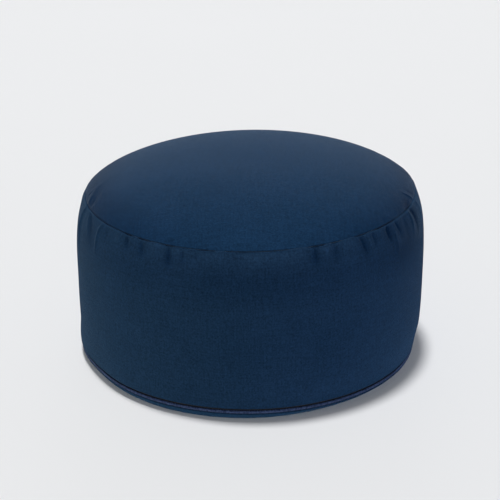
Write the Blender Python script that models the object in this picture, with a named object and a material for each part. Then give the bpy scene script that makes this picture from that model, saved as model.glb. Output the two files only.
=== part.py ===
"""A round meditation cushion, filled with hulls: a domed top panel and a side band sewn into one seam, and
a flat base panel joined to the band by a zip, which a fold of the band half covers.

The cushion rests on the floor at z = 0, with its middle on the Z axis. Its front, where the middle of the
zip lies, faces -Y. Sizes are in millimetres, and the meshes are made in metres. Angles are in degrees, from
the front towards +X.
"""

from math import cos, exp, radians, sin

import bmesh
import bpy
import numpy as np

MM = 0.001

# Driving sizes
BELLY_RADIUS = 174.6
SEAM_RADIUS = 162.7
SEAM_HEIGHT = 169.7
SEAM_TILT = 2.6  # the seam is this much higher at +X, and as much lower at -X
CROWN = 32.3  # rise of the top panel's middle above its seam
HEM_RADIUS = 172.4
HEM_HEIGHT = 12.4
BASE_SHIFT = -2.4  # the filled body has settled this far off the middle of the base, along X
SETTLED_HEIGHT = 40.0  # from here up, the body is centred on the Z axis
TUCK = 2.0  # and its foot is pressed in by this much round one place
TUCK_ANGLE = -60.0
TUCK_SPREAD = 12.0
SEAM_SHIFT = 0.2  # the seam has moved this far along X
SEAM_OVAL = 0.6  # and reaches this much further out at both sides than at the front and back
SHOULDER_HEIGHT = 120.0  # that move starts here and is whole at the seam
FLOOR_RADIUS = 163.2
FLOOR_OVAL = 3.0  # the line where the base turns up is an oval, by this much
FLOOR_OVAL_ANGLE = -20.0
FILLING_INSET = 1.0  # the filling turns up this much sooner, to stay clear of the base panel
OVAL_HEIGHT = 5.8  # the oval has faded out at this height
RIM_RADIUS = 171.0
RIM_HEIGHT = 7.3  # top of the base panel's rim, under the zip
CANVAS = 2.0  # thickness of a panel with its seam allowance
GAP = 0.3  # between pieces that touch

# The band's upper edge, a low lip round the top panel
LIP_OUT = 1.5  # from the seam to the outside of the lip
LIP_DROP = 1.6  # the outside of the lip lies this far below the seam
LIP_TOP_OUT = 0.8
LIP_TOP_DROP = 0.5
SEAM_GROOVE = 0.45  # between the lip and the rim of the top panel

# The band's lower edge, a hem with a slot behind it for the zip's upper tape
HEM_THICKNESS = 1.8
HEM_EDGE = 1.0
SLOT_CLEARANCE = 0.6  # over the tape

# The dome of the top panel: its fall from the middle follows (1 - share ** DOME_POWER) ** DOME_ROUNDING
DOME_POWER = 2.4
DOME_ROUNDING = 0.8
DOME_SHARES = (0.0, 0.12, 0.36, 0.62, 0.8, 0.9, 0.96, 0.985, 0.997)
RIM = len(DOME_SHARES) - 1

# The zip, between the base panel's rim and the band's hem
ZIP_HALF_ARC = 136.0  # the tapes are 80 cm long
COIL_HALF_ARC = 132.0
RIM_RISES_FROM = 140.0  # behind the zip, the rim rises to the hem between these two angles
RIM_RISES_TO = 144.0
RIM_SPREAD = 0.8  # and it stands out this much more there
TAPE_THICKNESS = 1.0
TAPE_RADIUS = 168.2
COIL_DEPTH = 2.4
COIL_EDGE = 0.9
LOWER_TAPE = (6.6, 9.2)
UPPER_TAPE = (9.6, 15.4)
COIL = (7.6, 11.2)

# The corner where the base turns up is a parabola that leaves the floor at a slant and ends upright
CORNER_LIFT = 0.6  # height at which its two tangents meet, as a share of the corner's height
CORNER_SHARES = (0.0, 0.25, 0.5, 0.75, 1.0)

# Points around a full ring, by how fine its surface is
FINE = 180
PLAIN = 90
INNER = 30
CENTRE = 10
DOME_COUNTS = (1, CENTRE, INNER, PLAIN, PLAIN, PLAIN, PLAIN, FINE, FINE)
UNDER_COUNTS = (1, CENTRE, INNER, PLAIN, PLAIN, PLAIN, PLAIN, PLAIN, FINE)
INNER_SHARE = 0.7  # of the floor's radius, for the inner rings of a flat base
CENTRE_SHARE = 0.3

# The side of the filled body: radius by share of the way from the hem to the lip
SIDE_PROFILE = (
    # share, radius
    (0.0, HEM_RADIUS),
    (0.2, 174.2),
    (0.5, BELLY_RADIUS),
    (0.8, 173.0),
    (0.9, 169.9),
    (1.0, SEAM_RADIUS + LIP_OUT),
)
PLAIN_SHARES = (0.02, 0.09, 0.2, 0.36, 0.52, 0.68)  # rings below the gathers
GATHER_RINGS = (42.0, 30.0, 20.0, 12.0, 6.5, 2.5)  # rings at these drops below the lip of the band
GATHER_START = 0.4  # a gather has smooth_step of this share of its depth at the lip
GATHER_GROWTH = 5.0  # and gains its whole depth over about this drop

# Gathers of the band under the top seam. A negative depth is a ridge, and lean is the way along the seam
# that a gather has moved at its lower end.
GATHERS = (
    # angle, half_width, depth, reach, lean
    (-84, 8, 0.8, 30, 2),
    (-76, 8, -1.6, 60, 2),
    (-68, 9, 1.2, 38, 14),
    (-58, 8, -1.3, 42, -2),
    (-54, 7, 0.6, 22, 0),
    (-44, 6, 1.1, 20, 3),
    (-37, 7, 1.4, 24, 3),
    (-32, 8, -0.5, 18, 0),
    (-26, 6, 1.8, 24, 2),
    (-22, 6, 0.9, 18, 2),
    (-10, 9, -0.4, 18, 0),
    (16, 9, -0.5, 16, 0),
    (21, 6, 2.2, 24, -1),
    (24, 6, -0.6, 14, 0),
    (28, 6, 1.5, 22, 0),
    (32, 8, -0.7, 16, 0),
    (38, 6, 2.2, 26, 6),
    (43, 6, 1.2, 20, 0),
    (47, 7, -0.6, 16, 0),
    (50, 7, 2.0, 24, 2),
    (55, 8, -0.8, 40, -2),
    (66, 6, -1.2, 32, 2),
    (68, 7, 2.2, 38, 6),
    (78, 8, -0.8, 34, 3),
    (84, 8, 0.9, 28, 0),
    (97, 7, 1.5, 26, -4),
    (104, 8, -0.7, 20, 0),
    (110, 8, 1.0, 16, 0),
    (122, 6, 1.8, 30, 6),
    (127, 8, -0.9, 36, 2),
    (134, 7, 1.2, 18, 0),
    (143, 9, -0.5, 16, 0),
    (150, 6, 1.6, 24, -4),
    (157, 7, 0.8, 16, 0),
    (168, 7, 1.4, 26, 0),
    (174, 8, -0.8, 22, 0),
    (-176, 7, 1.1, 20, -1),
    (-166, 6, 2.0, 28, 5),
    (-160, 8, -1.0, 38, 4),
    (-151, 8, 0.8, 18, 0),
    (-142, 6, 1.6, 24, -4),
    (-134, 9, -0.5, 18, 0),
    (-127, 7, 1.1, 20, 0),
    (-114, 6, 1.8, 34, 5),
    (-109, 8, -0.9, 36, 2),
    (-99, 7, 1.1, 18, 0),
    (-92, 8, -0.7, 22, 0),
)


def smooth_step(share):
    share = np.clip(share, 0.0, 1.0)
    return share * share * (3.0 - 2.0 * share)


def place(angle, radius, height):
    """The point at this angle and radius, in a body that has settled off the middle of its base."""
    settled = smooth_step((height - HEM_HEIGHT) / (SETTLED_HEIGHT - HEM_HEIGHT))
    if radius > INNER_SHARE * FLOOR_RADIUS:
        oval = FLOOR_OVAL * cos(radians(2.0 * (angle - FLOOR_OVAL_ANGLE)))
        aside = (angle - TUCK_ANGLE + 180.0) % 360.0 - 180.0
        radius = radius + oval * max(1.0 - height / OVAL_HEIGHT, 0.0)
        radius = radius - TUCK * exp(-((aside / TUCK_SPREAD) ** 2)) * (1.0 - settled)
    at_seam = smooth_step((height - SHOULDER_HEIGHT) / (SEAM_HEIGHT - SHOULDER_HEIGHT))
    shift = BASE_SHIFT * (1.0 - settled) + SEAM_SHIFT * at_seam
    radius = radius + SEAM_OVAL * at_seam * radius / SEAM_RADIUS * sin(radians(angle)) ** 2
    return np.array((radius * sin(radians(angle)) + shift, -radius * cos(radians(angle)), height))


def angles(count):
    return [360.0 * step / count for step in range(count)]


def ring(count, radius, height):
    """A level ring of points, or the single point on the axis."""
    if radius == 0.0:
        return [place(0.0, 0.0, height)]
    return [place(angle, radius, height) for angle in angles(count)]


def flat_base_rings(height):
    """The pole and the inner rings of a flat base."""
    return [
        ring(1, 0.0, height),
        ring(CENTRE, CENTRE_SHARE * FLOOR_RADIUS, height),
        ring(INNER, INNER_SHARE * FLOOR_RADIUS, height),
    ]


def turned_up_rings(radius, bottom, top, start=FLOOR_RADIUS):
    """Rings of the corner where the base turns up, from the line where it leaves the floor."""
    rings = []
    for share in CORNER_SHARES:
        out = 1.0 - (1.0 - share) ** 2
        up = 2.0 * CORNER_LIFT * share * (1.0 - share) + share**2
        rings.append(ring(PLAIN, start + out * (radius - start), bottom + up * (top - bottom)))
    return rings


def bridge(mesh, lower, upper):
    """Faces between two rings. Where one has fewer points, the other's edges fan out from them."""
    count = max(len(lower), len(upper))
    for step in range(count):
        corners = [
            lower[step * len(lower) // count],
            lower[(step + 1) * len(lower) // count % len(lower)],
            upper[(step + 1) * len(upper) // count % len(upper)],
            upper[step * len(upper) // count],
        ]
        mesh.faces.new(list(dict.fromkeys(corners)))


def finish_object(name, mesh, material):
    """Turns a bmesh into a smooth object with one material, under the cushion's empty."""
    bmesh.ops.recalc_face_normals(mesh, faces=mesh.faces[:])
    data = bpy.data.meshes.new(name)
    mesh.to_mesh(data)
    mesh.free()
    data.shade_smooth()
    data.set_sharp_from_angle(angle=radians(40.0))
    data.materials.append(material)
    made = bpy.data.objects.new(name, data)
    made.parent = bpy.data.objects["cushion"]
    bpy.context.scene.collection.objects.link(made)
    return made


def loft(name, rings, material):
    """A closed body through rings that run from the pole under it, round its outside, to the pole above."""
    mesh = bmesh.new()
    rows = [[mesh.verts.new(point * MM) for point in points] for points in rings]
    for lower, upper in zip(rows, rows[1:]):
        bridge(mesh, lower, upper)
    return finish_object(name, mesh, material)


def sweep(name, section, half_arc, material):
    """A strip of this section of (radius, height) corners, swept round the front and closed at its ends."""
    mesh = bmesh.new()
    steps = round(2.0 * half_arc * PLAIN / 360.0)
    turns = [-half_arc + 2.0 * half_arc * step / steps for step in range(steps + 1)]
    rows = [[mesh.verts.new(place(turn, *corner) * MM) for corner in section] for turn in turns]
    for near, far in zip(rows, rows[1:]):
        bridge(mesh, near, far)
    mesh.faces.new(rows[0])
    mesh.faces.new(rows[-1])
    return finish_object(name, mesh, material)


def fabric(name, colour, roughness):
    """A dull fabric with a colour in linear light."""
    made = bpy.data.materials.new(name)
    made.use_nodes = True
    shader = made.node_tree.nodes["Principled BSDF"]
    shader.inputs["Base Color"].default_value = (*colour, 1.0)
    shader.inputs["Roughness"].default_value = roughness
    shader.inputs["Metallic"].default_value = 0.0
    return made


def side_radius(share):
    """The radius of the side at this share of its height, on a natural cubic through SIDE_PROFILE."""
    knots, values = np.array(SIDE_PROFILE).T
    steps = np.diff(knots)
    slopes = np.diff(values) / steps
    system = np.eye(len(knots))
    right = np.zeros(len(knots))
    for i in range(1, len(knots) - 1):
        system[i, i - 1 : i + 2] = steps[i - 1], 2.0 * (steps[i - 1] + steps[i]), steps[i]
        right[i] = 6.0 * (slopes[i] - slopes[i - 1])
    bends = np.linalg.solve(system, right)
    i = np.clip(np.searchsorted(knots, share) - 1, 0, len(steps) - 1)
    along = share - knots[i]
    first = slopes[i] - steps[i] * (2.0 * bends[i] + bends[i + 1]) / 6.0
    second = bends[i] / 2.0
    third = (bends[i + 1] - bends[i]) / (6.0 * steps[i])
    return values[i] + along * (first + along * (second + along * third))


def seam_height(angle, share=1.0):
    """The height of the tilted plane of the seam, at this share of its radius."""
    return SEAM_HEIGHT + SEAM_TILT * share * sin(radians(angle))


def dome_profile():
    """The top panel's outer side from the middle to the seam, as (radius, rise over the seam, normal)."""
    shares = np.array(DOME_SHARES)
    radii = SEAM_RADIUS * shares
    rises = CROWN * (1.0 - shares**DOME_POWER) ** DOME_ROUNDING
    fall = CROWN * DOME_ROUNDING * DOME_POWER / SEAM_RADIUS
    slopes = fall * shares ** (DOME_POWER - 1.0) * (1.0 - shares**DOME_POWER) ** (DOME_ROUNDING - 1.0)
    normals = np.stack([slopes, np.ones_like(slopes)], 1) / np.sqrt(1.0 + slopes**2)[:, None]
    return radii, rises, normals


def dome_ring(count, index, inward=0.0, outward=0.0):
    """A ring under the dome by inward, and moved along its surface away from the middle by outward."""
    radii, rises, normals = dome_profile()
    normal = normals[index]
    radius = radii[index] - inward * normal[0] + outward * normal[1]
    rise = rises[index] - inward * normal[1] - outward * normal[0]
    if index == 0:
        return [place(0.0, 0.0, SEAM_HEIGHT + rise)]
    share = DOME_SHARES[index]
    return [place(angle, radius, seam_height(angle, share) + rise) for angle in angles(count)]


def gather_depth(angle, drop):
    """How far the band is drawn in at this angle and drop below its lip."""
    depth = 0.0
    for middle, half_width, deepest, reach, lean in GATHERS:
        if drop >= reach:
            continue
        turned = (angle - middle + 180.0) % 360.0 - 180.0
        aside = radians(turned) * SEAM_RADIUS - lean * drop / reach
        if abs(aside) < half_width:
            across = 0.5 + 0.5 * cos(np.pi * aside / half_width)
            along = smooth_step(GATHER_START + drop / GATHER_GROWTH) * (1.0 - smooth_step(drop / reach))
            depth += deepest * across * along
    return depth


def side_ring(share):
    """A ring of the band's smooth lower side."""
    radius = side_radius(share)
    rise = [share * (seam_height(angle) - LIP_DROP - HEM_HEIGHT) for angle in angles(PLAIN)]
    return [place(angle, radius, HEM_HEIGHT + rise[i]) for i, angle in enumerate(angles(PLAIN))]


def gathered_ring(drop):
    """A ring of the band at this drop below its lip, drawn in by the gathers."""
    points = []
    for angle in angles(FINE):
        lip_height = seam_height(angle) - LIP_DROP
        share = 1.0 - drop / (lip_height - HEM_HEIGHT)
        radius = side_radius(share) - gather_depth(angle, drop)
        points.append(place(angle, radius, lip_height - drop))
    return points


def lip_ring(out, drop):
    return [place(angle, SEAM_RADIUS + out, seam_height(angle) - drop) for angle in angles(FINE)]


def make_top_panel(canvas):
    """A round sheet, domed by the fill, whose rim lies in the step of the band."""
    under = [dome_ring(UNDER_COUNTS[i], i, inward=CANVAS) for i in range(RIM + 1)]
    over = [dome_ring(DOME_COUNTS[i], i) for i in range(RIM, -1, -1)]
    return loft("top_panel", under + over, canvas)


def make_side_band(canvas):
    """The filled body: flat below, a slot for the zip tape, the hem, the side with its gathers, the crown."""
    inside = TAPE_RADIUS - TAPE_THICKNESS - GAP
    slot_top = UPPER_TAPE[1] + SLOT_CLEARANCE
    under_panel = CANVAS + GAP
    flat_rings = flat_base_rings(under_panel)
    slot_rings = [
        ring(PLAIN, inside, slot_top),
        ring(PLAIN, HEM_RADIUS - HEM_THICKNESS, slot_top),
        ring(PLAIN, HEM_RADIUS - HEM_THICKNESS, HEM_HEIGHT + GAP),
        ring(PLAIN, HEM_RADIUS - HEM_EDGE, HEM_HEIGHT),
        ring(PLAIN, HEM_RADIUS, HEM_HEIGHT + GAP),
    ]
    side_rings = [side_ring(share) for share in PLAIN_SHARES]
    side_rings += [gathered_ring(drop) for drop in GATHER_RINGS]
    step_rings = [
        lip_ring(LIP_OUT, LIP_DROP),
        lip_ring(LIP_TOP_OUT, LIP_TOP_DROP),
        dome_ring(FINE, RIM, outward=SEAM_GROOVE),
        dome_ring(FINE, RIM, inward=under_panel + GAP, outward=SEAM_GROOVE),
    ]
    crown_rings = [dome_ring(UNDER_COUNTS[i], i, inward=under_panel) for i in range(RIM, -1, -1)]
    corner_rings = turned_up_rings(inside, under_panel, RIM_HEIGHT, FLOOR_RADIUS - FILLING_INSET)
    rings = flat_rings + corner_rings + slot_rings + side_rings + step_rings + crown_rings
    return loft("side_band", rings, canvas)


def rim_point(angle, radius, height):
    """A point of the base panel's upper rim, which stands higher where there is no zip."""
    turned = abs((angle + 180.0) % 360.0 - 180.0)
    risen = np.clip((turned - RIM_RISES_FROM) / (RIM_RISES_TO - RIM_RISES_FROM), 0.0, 1.0)
    rise = risen * (HEM_HEIGHT - GAP - RIM_HEIGHT)
    return place(angle, radius + RIM_SPREAD * risen, height + rise)


def make_base_panel(canvas):
    """A round sheet, flat on the floor, its rim turned up to the zip and at the back to the hem."""
    outer = flat_base_rings(0.0) + turned_up_rings(RIM_RADIUS, 0.0, RIM_HEIGHT)
    inner = flat_base_rings(CANVAS) + turned_up_rings(RIM_RADIUS - CANVAS, CANVAS, RIM_HEIGHT)
    outer[-1] = [rim_point(angle, RIM_RADIUS, RIM_HEIGHT) for angle in angles(PLAIN)]
    inner[-1] = [rim_point(angle, RIM_RADIUS - CANVAS, RIM_HEIGHT) for angle in angles(PLAIN)]
    return loft("base_panel", outer + inner[::-1], canvas)


def make_tape(name, heights, material):
    """A flat woven tape that stands on edge behind the teeth."""
    low, high = heights
    inside = TAPE_RADIUS - TAPE_THICKNESS
    section = ((TAPE_RADIUS, low), (TAPE_RADIUS, high), (inside, high), (inside, low))
    return sweep(name, section, ZIP_HALF_ARC, material)


def make_coil(material):
    """The closed row of teeth, as one bead with bevelled edges on the outside of both tapes."""
    low, high = COIL
    inside = TAPE_RADIUS + GAP
    outside = inside + COIL_DEPTH
    section = (
        (inside, low),
        (outside - COIL_EDGE, low),
        (outside, low + COIL_EDGE),
        (outside, high - COIL_EDGE),
        (outside - COIL_EDGE, high),
        (inside, high),
    )
    return sweep("zip_coil", section, COIL_HALF_ARC, material)


def main():
    for old in list(bpy.data.objects):
        bpy.data.objects.remove(old, do_unlink=True)
    cushion = bpy.data.objects.new("cushion", None)
    bpy.context.scene.collection.objects.link(cushion)
    make_top_panel(fabric("navy_canvas_top", (0.012, 0.036, 0.082), 0.88))
    make_side_band(fabric("navy_canvas_side", (0.008, 0.026, 0.061), 0.88))
    make_base_panel(fabric("navy_canvas_base", (0.008, 0.026, 0.061), 0.88))
    make_tape("zip_tape_upper", UPPER_TAPE, fabric("zip_tape_upper", (0.009, 0.016, 0.034), 0.8))
    make_tape("zip_tape_lower", LOWER_TAPE, fabric("zip_tape_lower", (0.009, 0.016, 0.034), 0.8))
    make_coil(fabric("zip_teeth", (0.02, 0.03, 0.06), 0.45))


main()
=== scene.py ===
"""The looks of a round navy meditation cushion, filled with hulls.

Sizes are in millimetres, as in the part's own source, and the meshes are made in metres. Angles are in
degrees, from the front (-Y) towards +X. A drop is a height below the lip of the side band. A shade is
painted into the cloth's colour: as painted shade it darkens it, from 0 for not at all to 1, and as painted
light it lightens it where it is below 0.
"""

from math import pi, radians

import bmesh
import bpy
import numpy as np
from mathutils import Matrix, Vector


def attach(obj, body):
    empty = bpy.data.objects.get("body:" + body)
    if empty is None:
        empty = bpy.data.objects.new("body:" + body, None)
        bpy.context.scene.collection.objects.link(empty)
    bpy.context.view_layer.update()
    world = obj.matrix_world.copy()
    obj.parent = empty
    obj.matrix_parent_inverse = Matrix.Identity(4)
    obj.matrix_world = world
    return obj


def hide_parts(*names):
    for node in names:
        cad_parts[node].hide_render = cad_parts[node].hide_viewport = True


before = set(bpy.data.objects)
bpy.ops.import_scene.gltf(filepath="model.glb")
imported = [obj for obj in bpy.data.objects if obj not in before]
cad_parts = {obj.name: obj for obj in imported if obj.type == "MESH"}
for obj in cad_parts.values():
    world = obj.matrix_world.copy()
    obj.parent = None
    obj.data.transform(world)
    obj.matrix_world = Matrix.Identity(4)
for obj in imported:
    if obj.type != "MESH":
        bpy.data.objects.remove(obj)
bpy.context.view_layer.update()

MM = 0.001

# Sizes shared with the part's source
BELLY_RADIUS = 174.6
SEAM_RADIUS = 162.7
SEAM_HEIGHT = 169.7
SEAM_TILT = 2.6  # the seam is this much higher at +X, and as much lower at -X
CROWN = 32.3  # rise of the top panel's middle above its seam
HEM_RADIUS = 172.4
BASE_SHIFT = -2.4  # the base lies this far along X, because the filled body has settled to one side
SETTLED_HEIGHT = 40.0  # from here up, the body is centred on the Z axis
TUCK = 2.0  # and its foot is pressed in by this much round one place
TUCK_ANGLE = -60.0
TUCK_SPREAD = 12.0
SEAM_SHIFT = 0.2  # the seam has moved this far along X
SEAM_OVAL = 0.6  # and reaches this much further out at both sides than at the front and back
SHOULDER_HEIGHT = 120.0  # that move starts here and is whole at the seam
FLOOR_RADIUS = 163.2
FLOOR_OVAL = 3.0  # the line where the base turns up is an oval, by this much
FLOOR_OVAL_ANGLE = -20.0
OVAL_HEIGHT = 5.8  # the oval has faded out at this height
OVAL_REACH = (0.5, 0.9)  # it and the tuck set in between these shares of the floor's radius
FILLING_INSET = 1.0  # the filling turns up this much sooner, to stay clear of the base panel
RIM_RADIUS = 171.0
RIM_HEIGHT = 7.3  # top of the base panel's rim, under the zip
CANVAS = 2.0  # thickness of a panel with its seam allowance
GAP = 0.3  # between pieces that touch
LIP_OUT = 1.5  # from the seam to the outside of the lip
LIP_DROP = 1.6  # the outside of the lip lies this far below the seam
SEAM_GROOVE = 0.45  # the filling's edge reaches this much further down the slope than the panel's
HEM_THICKNESS = 1.8
SLOT_TOP = 16.0  # top of the slot behind the hem, over the upper tape
DOME_POWER = 2.4
DOME_ROUNDING = 0.8
CORNER_LIFT = 0.6  # height at which the two tangents of the corner meet, as a share of its height
RIM_RISES_FROM = 140.0  # behind the zip, the rim rises to the hem between these two angles
RIM_RISES_TO = 144.0
RIM_SPREAD = 0.8  # and it stands out this much more there
TAPE_HALF_ARC = 136.0
COIL_HALF_ARC = 132.0
TAPE_RADIUS = 168.2
TAPE_THICKNESS = 1.0
LOWER_TAPE = (6.6, 9.2)
UPPER_TAPE = (9.6, 15.4)
COIL = (7.6, 11.2)
SIDE_PROFILE = (
    # share of the height from the hem to the lip, radius
    (0.0, HEM_RADIUS),
    (0.2, 174.2),
    (0.5, BELLY_RADIUS),
    (0.8, 173.0),
    (0.9, 169.9),
    (1.0, SEAM_RADIUS + LIP_OUT),
)

# The hem's edge stands 0.6 above the part's own, so that the dark line over the teeth shows
HEM_HEIGHT = 13.0

# Points around a full ring
FINEST = 1440
FINE = 720
PLAIN = 360
COARSE = 90

# Rings that don't show, of radius and points around
FILLING_FLOOR = ((60.0, COARSE), (120.0, COARSE))
TIGHT_FROM = 155.0  # outside this radius, the filling lies closer under the top panel
HIDDEN_DOME = ((60.0, COARSE), (120.0, COARSE), (150.0, PLAIN), (161.0, PLAIN))

# Creases of the band under the top seam, each along a line of (angle, drop) points. A negative depth is a
# ridge. Those from -84 to 80 degrees follow the photograph, and those behind are of the same kind.
BAND_CREASES = (
    # depth, half_width, line
    (-1.7, 6.5, ((-74.8, 0), (-75.7, 7), (-76.0, 15), (-75.0, 26), (-74.4, 40), (-73.4, 62))),
    (1.6, 13.0, ((-68.0, 0), (-66.2, 5), (-64.6, 11), (-63.0, 18), (-62.0, 34))),
    (-0.8, 6.0, ((-69.2, 5), (-68.0, 10), (-66.4, 17), (-65.6, 26))),
    (-1.3, 5.0, ((-57.6, 1), (-58.8, 5), (-59.1, 12), (-58.9, 20), (-58.4, 38))),
    (0.7, 10.0, ((-53.6, 2), (-53.8, 9), (-53.4, 20))),
    (-0.6, 7.0, ((-47.6, 1), (-47.0, 12))),
    (1.9, 5.5, ((-43.6, 0), (-43.0, 6), (-42.2, 15))),
    (2.1, 6.5, ((-37.2, 0), (-36.6, 7), (-36.0, 19))),
    (-0.7, 8.0, ((-31.6, 0), (-31.4, 12))),
    (2.9, 6.0, ((-26.6, 0), (-26.2, 8), (-25.8, 22))),
    (1.7, 4.6, ((-21.9, 0), (-21.4, 6), (-21.0, 15))),
    (0.9, 4.0, ((-17.1, 0), (-17.0, 9))),
    (-0.4, 9.0, ((-9.6, 0), (-9.2, 14))),
    (0.4, 8.0, ((-3.0, 0), (-3.4, 12))),
    (-0.5, 9.0, ((15.6, 0), (15.4, 13))),
    (2.9, 5.6, ((20.9, 0), (20.8, 8), (20.5, 20))),
    (-0.7, 6.0, ((24.1, 0), (24.0, 9))),
    (2.2, 7.5, ((27.6, 0), (27.8, 5), (27.5, 19))),
    (-0.7, 7.0, ((32.4, 0), (32.6, 12))),
    (3.0, 6.0, ((37.9, 0), (38.5, 5.6), (39.1, 11), (40.4, 22))),
    (-0.6, 3.6, ((40.8, 3), (41.4, 8), (42.2, 15))),
    (1.8, 4.6, ((43.2, 0), (43.6, 6), (43.6, 16))),
    (-0.6, 6.0, ((46.9, 1), (46.8, 12))),
    (2.9, 7.5, ((50.9, 0), (50.4, 4), (50.7, 9), (51.8, 20))),
    (1.9, 4.6, ((55.6, 0), (56.0, 3.4), (57.0, 10), (57.8, 18))),
    (-0.6, 6.0, ((54.2, 9), (54.6, 20), (54.0, 38))),
    (1.0, 12.0, ((61.0, 0), (61.6, 12), (61.6, 30))),
    (-1.3, 6.0, ((65.6, 0), (66.8, 3), (67.4, 10), (67.2, 19), (66.6, 30))),
    (2.7, 9.0, ((68.2, 0), (70.2, 7), (71.2, 14), (71.2, 20), (70.4, 34))),
    (-0.9, 5.0, ((76.4, 0), (78.6, 7), (79.2, 16), (79.0, 30))),
    (1.0, 6.5, ((84.0, 0), (85.0, 9), (84.6, 24))),
    (1.7, 5.5, ((97.0, 0), (96.2, 8), (95.6, 22))),
    (-0.8, 7.0, ((103.0, 0), (102.4, 16))),
    (1.1, 7.0, ((110.0, 0), (110.8, 12))),
    (2.1, 5.0, ((121.0, 0), (122.4, 9), (123.2, 26))),
    (-1.0, 6.0, ((126.2, 0), (127.4, 14), (127.0, 34))),
    (1.3, 6.0, ((134.0, 0), (133.4, 14))),
    (-0.5, 8.0, ((143.0, 0), (143.4, 12))),
    (1.8, 5.0, ((151.0, 0), (150.0, 8), (149.6, 20))),
    (0.9, 5.0, ((157.4, 0), (157.0, 12))),
    (1.5, 6.0, ((168.0, 0), (168.6, 10), (168.2, 22))),
    (-0.9, 7.0, ((174.0, 0), (174.4, 18))),
    (1.2, 6.0, ((-176.0, 0), (-176.6, 16))),
    (2.2, 5.2, ((-166.0, 0), (-164.6, 8), (-164.0, 24))),
    (-1.1, 6.0, ((-160.4, 0), (-159.0, 12), (-158.6, 36))),
    (0.9, 7.0, ((-151.0, 0), (-150.6, 14))),
    (1.7, 5.0, ((-141.0, 0), (-142.2, 9), (-142.8, 20))),
    (-0.6, 8.0, ((-134.0, 0), (-134.4, 14))),
    (1.2, 6.0, ((-127.0, 0), (-126.4, 16))),
    (2.0, 5.6, ((-115.0, 0), (-113.8, 10), (-113.0, 30))),
    (-1.0, 6.0, ((-109.6, 0), (-108.4, 14), (-108.0, 34))),
    (1.2, 6.0, ((-99.0, 0), (-99.6, 14))),
    (-0.8, 7.0, ((-91.4, 0), (-91.0, 18))),
    (0.5, 8.0, ((-84.0, 0), (-83.4, 9), (-83.0, 26))),
)

# Painted shade on the band, most of it where its gathers bunch it up
LEES = (
    # angle, drop, half_width, half_height, shade
    (60.0, 24.0, 34.0, 26.0, 0.26),
    (74.0, 16.0, 20.0, 22.0, 0.15),
    (-64.0, 14.0, 26.0, 20.0, 0.08),
    (10.0, 110.0, 90.0, 50.0, 0.04),
    (122.0, 16.0, 30.0, 24.0, 0.10),
    (-114.0, 16.0, 30.0, 24.0, 0.10),
)

# A belt of the band has painted shade all round. It sets in and runs out between these drops
BELT_SHADE = 0.10
BELT_TOP = (14.0, 24.0)
BELT_FOOT = (28.0, 58.0)

# A strip right under the lip has painted light in front, more in some places than in others
STRIP_SHADE = -0.38
STRIP_DROP = 10.0
STRIP_SPREAD = 40.0
STRIP_WAVES = (
    # strength, waves round the band, start in degrees
    (0.22, 13.0, 40.0),
    (0.18, 29.0, 75.0),
)

# The band has painted light low down, except in front
LOW_SHADE = -0.27
LOW_DROPS = (60.0, 150.0)
LOW_SPREAD = 55.0

# Creases of the top panel beside its seam, each along a line of (angle, distance in from the seam) points
PANEL_CREASES = (
    # depth, half_width, line
    (-0.9, 5.0, ((-75.0, 0), (-78.9, 5.8), (-82.6, 9.4), (-85.8, 15.6), (-90.0, 24))),
    (0.7, 6.0, ((-72.0, 2), (-75.6, 9), (-80.0, 15), (-84.0, 22))),
    (-0.6, 3.4, ((-82.6, 4.5), (-84.2, 8.6), (-86.0, 14.6))),
    (0.4, 6.0, ((-44.0, 0), (-44.2, 7))),
    (0.5, 6.0, ((-26.4, 0), (-26.6, 8))),
    (0.5, 6.0, ((20.9, 0), (21.2, 8))),
    (0.4, 6.0, ((38.0, 0), (37.2, 9))),
    (0.5, 7.0, ((51.0, 0), (51.6, 8))),
    (1.6, 4.6, ((66.0, 0.0), (68.6, 2.0), (72.4, 3.0), (75.0, 2.8))),
    (-0.8, 3.6, ((75.6, 0), (75.4, 3.8), (75.2, 8.6), (75.0, 15))),
    (0.7, 4.5, ((79.0, 0), (78.6, 6), (77.8, 14))),
    (0.9, 5.0, ((97.0, 0), (99.0, 10), (101.0, 16))),
    (-0.6, 5.0, ((104.0, 0), (106.0, 12))),
    (0.8, 6.0, ((122.0, 0), (120.4, 12))),
    (0.5, 7.0, ((151.0, 0), (152.0, 9))),
    (0.8, 6.0, ((-166.0, 0), (-168.0, 12))),
    (-0.5, 6.0, ((-159.0, 0), (-160.0, 10))),
    (0.6, 6.0, ((-141.0, 0), (-140.0, 9))),
    (0.9, 5.0, ((-115.0, 0), (-117.0, 11), (-118.0, 18))),
)

# The form and the painted shade of a crease
FOLD_CORE = 0.36  # its trough's own half width, as a share of the crease's
FOLD_EDGE = 1.1  # it has run out at about this share
CREASE_START = 0.75  # share of its half width that it has where it starts
CREASE_GROWTH = 0.4  # and the share that it gains along its line
CREASE_AT_SEAM = 0.45  # smooth_step of this is the share of its depth that it has at the seam
CREASE_RISE = 6.0  # and it has gained the rest before this distance
CREASE_FADES_FROM = 0.25  # share of its line
TROUGH_SHARE = 0.55  # the cloth is drawn in by this share of a trough's depth; its painted shade is for all of it
NEAR_SHADE = 0.15  # painted shade for each millimetre of depth, in a crease widened this much
NEAR_WIDENING = 1.5
WIDE_SHADE = 0.05  # and this much more in one widened further
WIDE_WIDENING = 4.0
MOST_CREASE_SHADE = 0.50

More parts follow.
